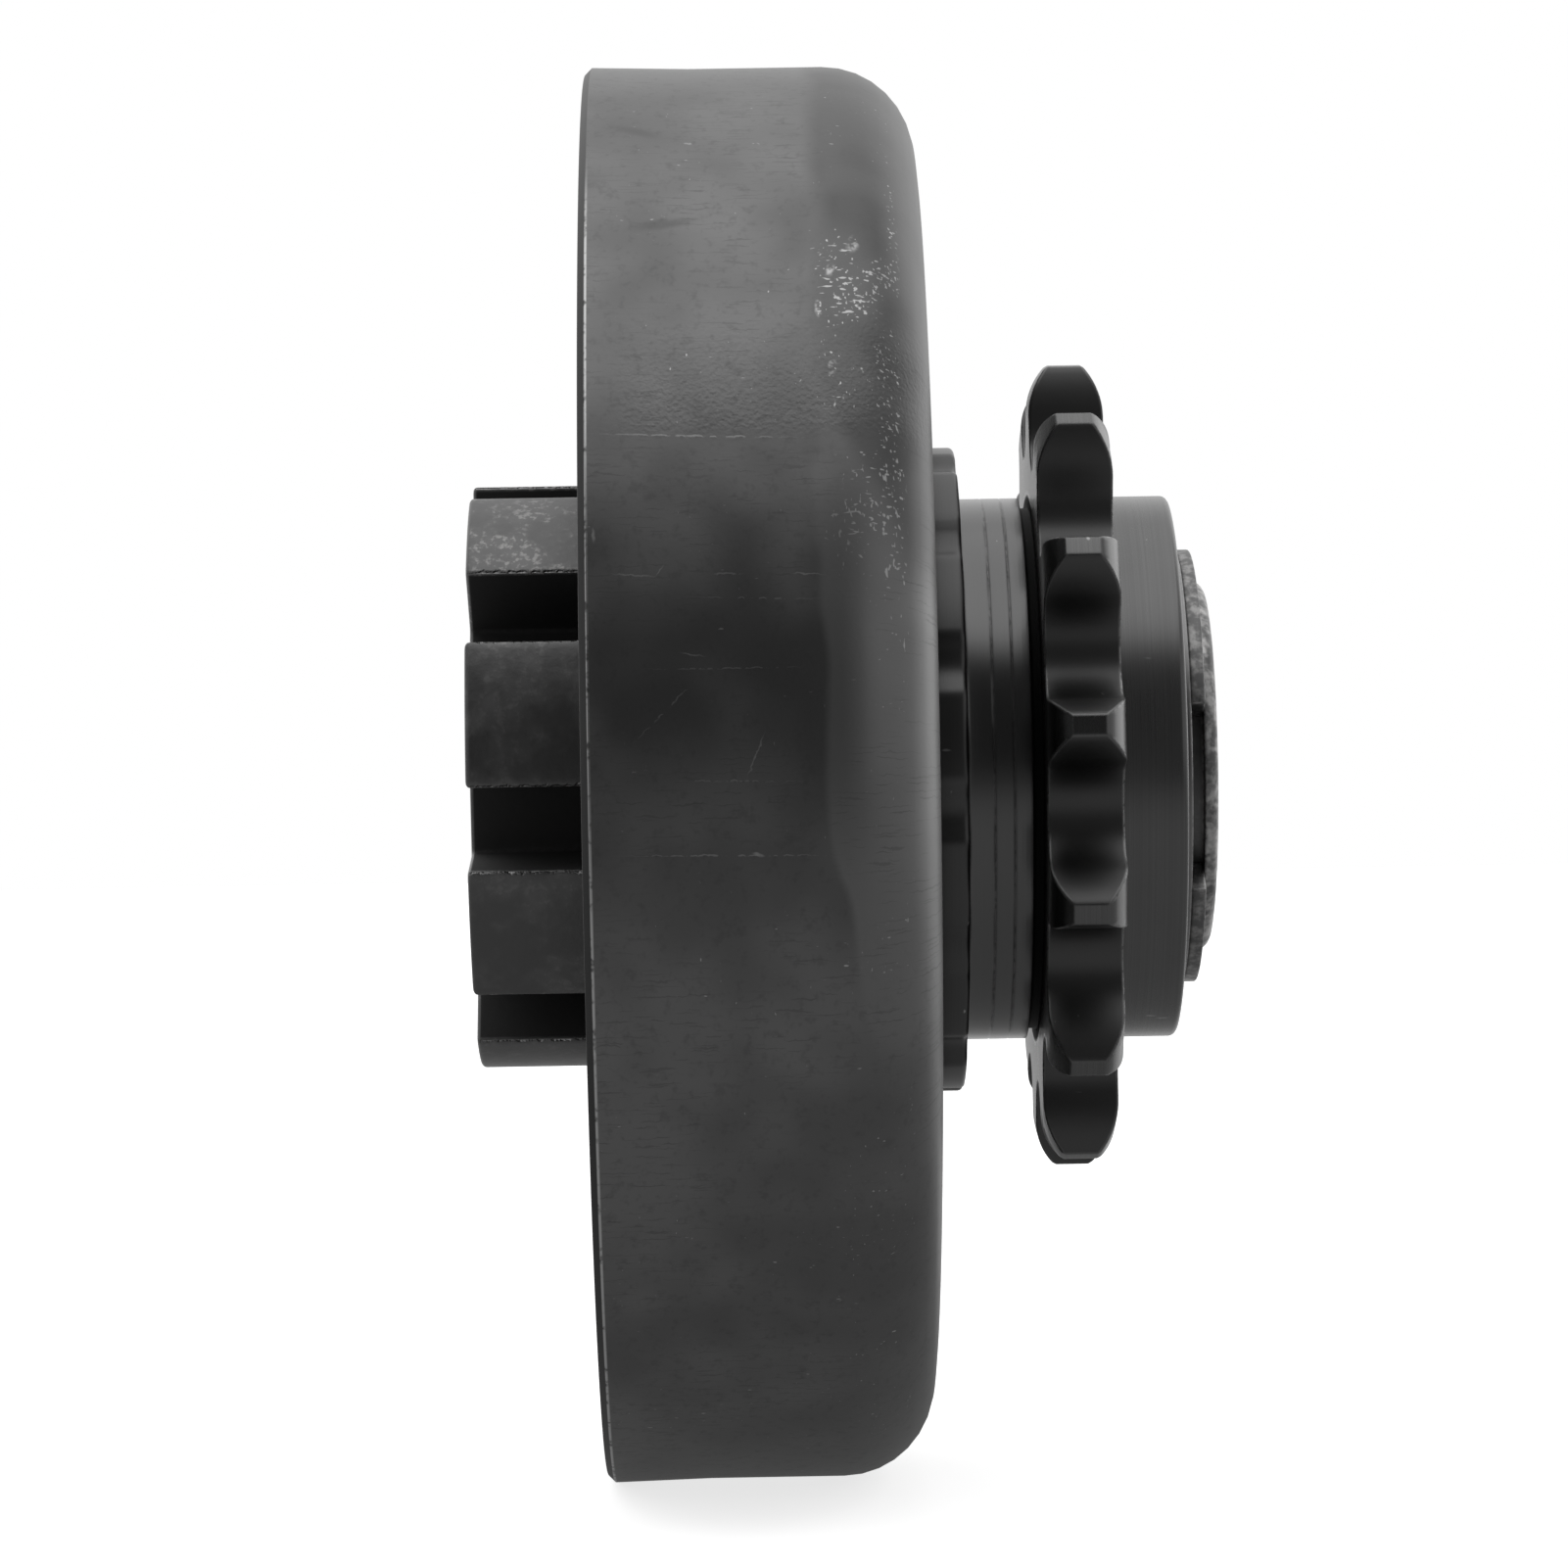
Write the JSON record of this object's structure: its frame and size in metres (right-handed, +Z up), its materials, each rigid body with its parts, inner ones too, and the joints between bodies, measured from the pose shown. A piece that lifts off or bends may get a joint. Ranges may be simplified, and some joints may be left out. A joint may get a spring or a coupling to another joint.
{
  "type": "centrifugal clutch",
  "caption": "Centrifugal clutch: a black steel drum with a chain sprocket turns on a slotted, keyed hub whose sprung shoes slide out against the drum.",
  "frame": {"origin": "on the crankshaft axis, in the plane of the drum's open rim", "axes": "+Y along the crankshaft axis towards the sprocket, +Z up, +X towards the picture's camera"},
  "size_m": [0.1106, 0.0572, 0.1106],
  "materials": {
    "drum_steel": "satin black oxide, worn at the rim and corner",
    "black_oxide_steel": "black oxide over turned steel",
    "plain_steel": "oiled ground steel",
    "spring_steel": "phosphated spring steel",
    "spring_wire": "drawn spring wire",
    "bronze": "sintered bearing bronze",
    "sintered_iron": "pressed and sintered iron",
    "friction_material": "moulded friction material"
  },
  "bodies": {
    "rotor": {"rotor_hub": "black_oxide_steel", "back_plate": "plain_steel", "shoe_keeper_ring": "spring_steel", "thrust_washer": "plain_steel", "snap_ring": "spring_steel", "garter_spring_inboard": "spring_wire", "garter_spring_outboard": "spring_wire"},
    "drum_assembly": {"drum": "drum_steel", "sprocket": "black_oxide_steel", "bush": "bronze"},
    "shoe_unit_1": {"shoe_1": "sintered_iron", "lining_1": "friction_material"},
    "shoe_unit_2": {"shoe_2": "sintered_iron", "lining_2": "friction_material"},
    "shoe_unit_3": {"shoe_3": "sintered_iron", "lining_3": "friction_material"},
    "shoe_unit_4": {"shoe_4": "sintered_iron", "lining_4": "friction_material"},
    "shoe_unit_5": {"shoe_5": "sintered_iron", "lining_5": "friction_material"},
    "shoe_unit_6": {"shoe_6": "sintered_iron", "lining_6": "friction_material"},
    "shoe_unit_7": {"shoe_7": "sintered_iron", "lining_7": "friction_material"},
    "shoe_unit_8": {"shoe_8": "sintered_iron", "lining_8": "friction_material"}
  },
  "joints": [
    {"name": "drum_spin", "type": "hinge", "parent": "rotor", "child": "drum_assembly", "pos_m": [0, 0, 0], "axis": [0, 1, 0], "continuous": true},
    {"name": "shoe_1_slide", "type": "slide", "parent": "rotor", "child": "shoe_unit_1", "axis": [0.9842, 0, -0.1771], "range_m": [0, 0.0009], "stiffness_N_per_m": 6000, "springref_m": -0.001, "deforming": ["garter_spring_inboard", "garter_spring_outboard"]},
    {"name": "shoe_2_slide", "type": "slide", "parent": "rotor", "child": "shoe_unit_2", "axis": [0.5707, 0, -0.8211], "range_m": [0, 0.0009], "stiffness_N_per_m": 6000, "springref_m": -0.001},
    {"name": "shoe_3_slide", "type": "slide", "parent": "rotor", "child": "shoe_unit_3", "axis": [-0.1771, 0, -0.9842], "range_m": [0, 0.0009], "stiffness_N_per_m": 6000, "springref_m": -0.001},
    {"name": "shoe_4_slide", "type": "slide", "parent": "rotor", "child": "shoe_unit_4", "axis": [-0.8211, 0, -0.5707], "range_m": [0, 0.0009], "stiffness_N_per_m": 6000, "springref_m": -0.001},
    {"name": "shoe_5_slide", "type": "slide", "parent": "rotor", "child": "shoe_unit_5", "axis": [-0.9842, 0, 0.1771], "range_m": [0, 0.0009], "stiffness_N_per_m": 6000, "springref_m": -0.001},
    {"name": "shoe_6_slide", "type": "slide", "parent": "rotor", "child": "shoe_unit_6", "axis": [-0.5707, 0, 0.8211], "range_m": [0, 0.0009], "stiffness_N_per_m": 6000, "springref_m": -0.001},
    {"name": "shoe_7_slide", "type": "slide", "parent": "rotor", "child": "shoe_unit_7", "axis": [0.1771, 0, 0.9842], "range_m": [0, 0.0009], "stiffness_N_per_m": 6000, "springref_m": -0.001},
    {"name": "shoe_8_slide", "type": "slide", "parent": "rotor", "child": "shoe_unit_8", "axis": [0.8211, 0, 0.5707], "range_m": [0, 0.0009], "stiffness_N_per_m": 6000, "springref_m": -0.001}
  ],
  "couplings": [
    {"joint": "shoe_2_slide", "follows": "shoe_1_slide", "ratio": 1},
    {"joint": "shoe_3_slide", "follows": "shoe_1_slide", "ratio": 1},
    {"joint": "shoe_4_slide", "follows": "shoe_1_slide", "ratio": 1},
    {"joint": "shoe_5_slide", "follows": "shoe_1_slide", "ratio": 1},
    {"joint": "shoe_6_slide", "follows": "shoe_1_slide", "ratio": 1},
    {"joint": "shoe_7_slide", "follows": "shoe_1_slide", "ratio": 1},
    {"joint": "shoe_8_slide", "follows": "shoe_1_slide", "ratio": 1}
  ]
}
